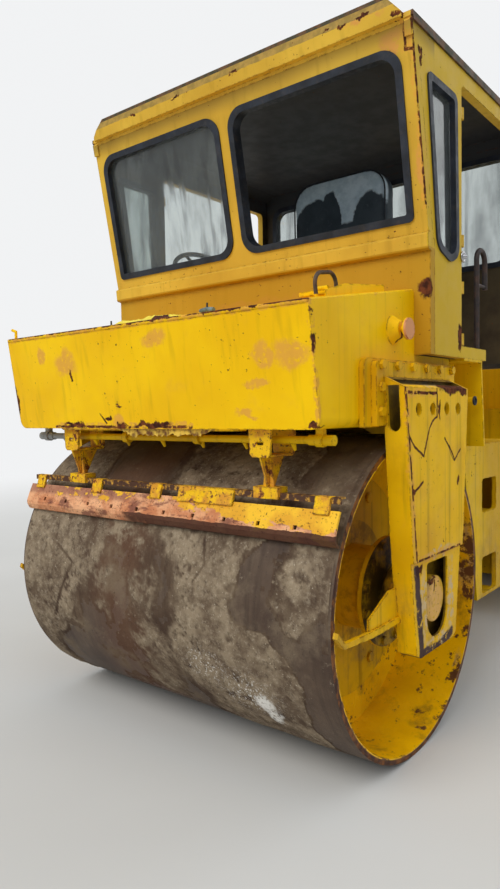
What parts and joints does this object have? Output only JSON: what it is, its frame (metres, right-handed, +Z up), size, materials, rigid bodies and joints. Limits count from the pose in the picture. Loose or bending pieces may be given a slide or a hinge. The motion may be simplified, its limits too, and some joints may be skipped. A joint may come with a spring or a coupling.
{
  "type": "articulated tandem road roller with cab",
  "caption": "Old yellow articulated road roller: two steel drums in bolted legs, water tanks, scrapers, open-door cab, engine hood, steering hitch.",
  "frame": {"origin": "on the ground below the steering pin, midway between the drums", "axes": "+X forward, +Y to the machine's left, +Z up"},
  "size_m": [5.152, 2.124, 3.19],
  "materials": {
    "yellow_paint": "satin",
    "rusty_paint": "matte",
    "drum_steel": "matte",
    "window_rubber": "matte",
    "dirty_glass": "gloss",
    "seat_vinyl": "satin",
    "dark_metal": "matte",
    "rod_chrome": "gloss"
  },
  "bodies": {
    "front_half": {"front_frame": "yellow_paint", "front_lower_frame": "yellow_paint", "front_side_plates": "yellow_paint", "front_tank": "yellow_paint", "front_tank_fittings": "yellow_paint", "front_leg_left": "yellow_paint", "front_leg_right": "yellow_paint", "front_bearings": "yellow_paint", "front_scraper": "rusty_paint", "front_spray_bar": "yellow_paint", "cab_front_wall": "yellow_paint", "cab_side_left": "yellow_paint", "cab_side_right": "yellow_paint", "cab_rear_wall": "yellow_paint", "cab_roof": "yellow_paint", "cab_floor": "dark_metal", "window_seals": "window_rubber", "window_glass": "dirty_glass", "driver_seat": "seat_vinyl", "seat_base": "dark_metal", "steering_console": "dark_metal", "grab_rails": "dark_metal"},
    "rear_half": {"rear_frame": "yellow_paint", "rear_side_plates": "yellow_paint", "rear_tank": "yellow_paint", "rear_tank_fittings": "yellow_paint", "rear_leg_left": "yellow_paint", "rear_leg_right": "yellow_paint", "rear_bearings": "yellow_paint", "rear_scraper": "rusty_paint", "rear_spray_bar": "yellow_paint", "engine_block": "dark_metal", "engine_hood_walls": "yellow_paint", "exhaust_pipe": "dark_metal"},
    "front_drum": {"front_drum_shell": "drum_steel", "front_drum_hub": "yellow_paint"},
    "rear_drum": {"rear_drum_shell": "drum_steel", "rear_drum_hub": "yellow_paint"},
    "hitch": {"hitch_knuckle": "yellow_paint"},
    "barrel_left": {"steering_barrel_left": "yellow_paint"},
    "barrel_right": {"steering_barrel_right": "yellow_paint"},
    "rod_left": {"steering_rod_left": "rod_chrome"},
    "rod_right": {"steering_rod_right": "rod_chrome"},
    "hood_lid": {"engine_hood_lid": "yellow_paint"},
    "front_lid": {"front_tank_lid": "yellow_paint"},
    "rear_lid": {"rear_tank_lid": "yellow_paint"}
  },
  "joints": [
    {"name": "front_drum_spin", "type": "hinge", "parent": "front_half", "child": "front_drum", "pos_m": [1.8, 0, 0.7], "axis": [0, 1, 0], "continuous": true},
    {"name": "steering", "type": "hinge", "parent": "front_half", "child": "hitch", "pos_m": [0, 0, 0.755], "axis": [0, 0, 1], "range_deg": [-30, 30]},
    {"name": "swivel", "type": "hinge", "parent": "hitch", "child": "rear_half", "pos_m": [0, 0, 0.755], "axis": [1, 0, 0], "range_deg": [-6, 6]},
    {"name": "rear_drum_spin", "type": "hinge", "parent": "rear_half", "child": "rear_drum", "pos_m": [-1.8, 0, 0.7], "axis": [0, 1, 0], "continuous": true},
    {"name": "barrel_turn_left", "type": "hinge", "parent": "front_half", "child": "barrel_left", "pos_m": [0.4, 0.27, 0.755], "axis": [0, 0, 1], "range_deg": [-4.5, 4.5]},
    {"name": "rod_slide_left", "type": "slide", "parent": "barrel_left", "child": "rod_left", "axis": [-0.9827, -0.185, 0], "range_m": [-0.098, 0.098]},
    {"name": "barrel_turn_right", "type": "hinge", "parent": "front_half", "child": "barrel_right", "pos_m": [0.4, -0.27, 0.755], "axis": [0, 0, 1], "range_deg": [-4.5, 4.5]},
    {"name": "rod_slide_right", "type": "slide", "parent": "barrel_right", "child": "rod_right", "axis": [-0.9827, 0.185, 0], "range_m": [-0.098, 0.098]},
    {"name": "hood_open", "type": "hinge", "parent": "rear_half", "child": "hood_lid", "pos_m": [-1.752, 0, 2.1303], "axis": [0, -1, 0], "range_deg": [0, 60]},
    {"name": "front_lid_open", "type": "hinge", "parent": "front_half", "child": "front_lid", "pos_m": [2.02002, 0.7, 2.01435], "axis": [0, -1, 0], "range_deg": [0, 100]},
    {"name": "rear_lid_open", "type": "hinge", "parent": "rear_half", "child": "rear_lid", "pos_m": [-2.02002, -0.7, 2.01435], "axis": [0, 1, 0], "range_deg": [0, 100]}
  ],
  "couplings": [
    {"joint": "barrel_turn_left", "follows": "steering", "ratio": 0.146},
    {"joint": "rod_slide_left", "follows": "steering", "m_per_rad": 0.1862},
    {"joint": "barrel_turn_right", "follows": "steering", "ratio": 0.146},
    {"joint": "rod_slide_right", "follows": "steering", "m_per_rad": -0.1862}
  ]
}
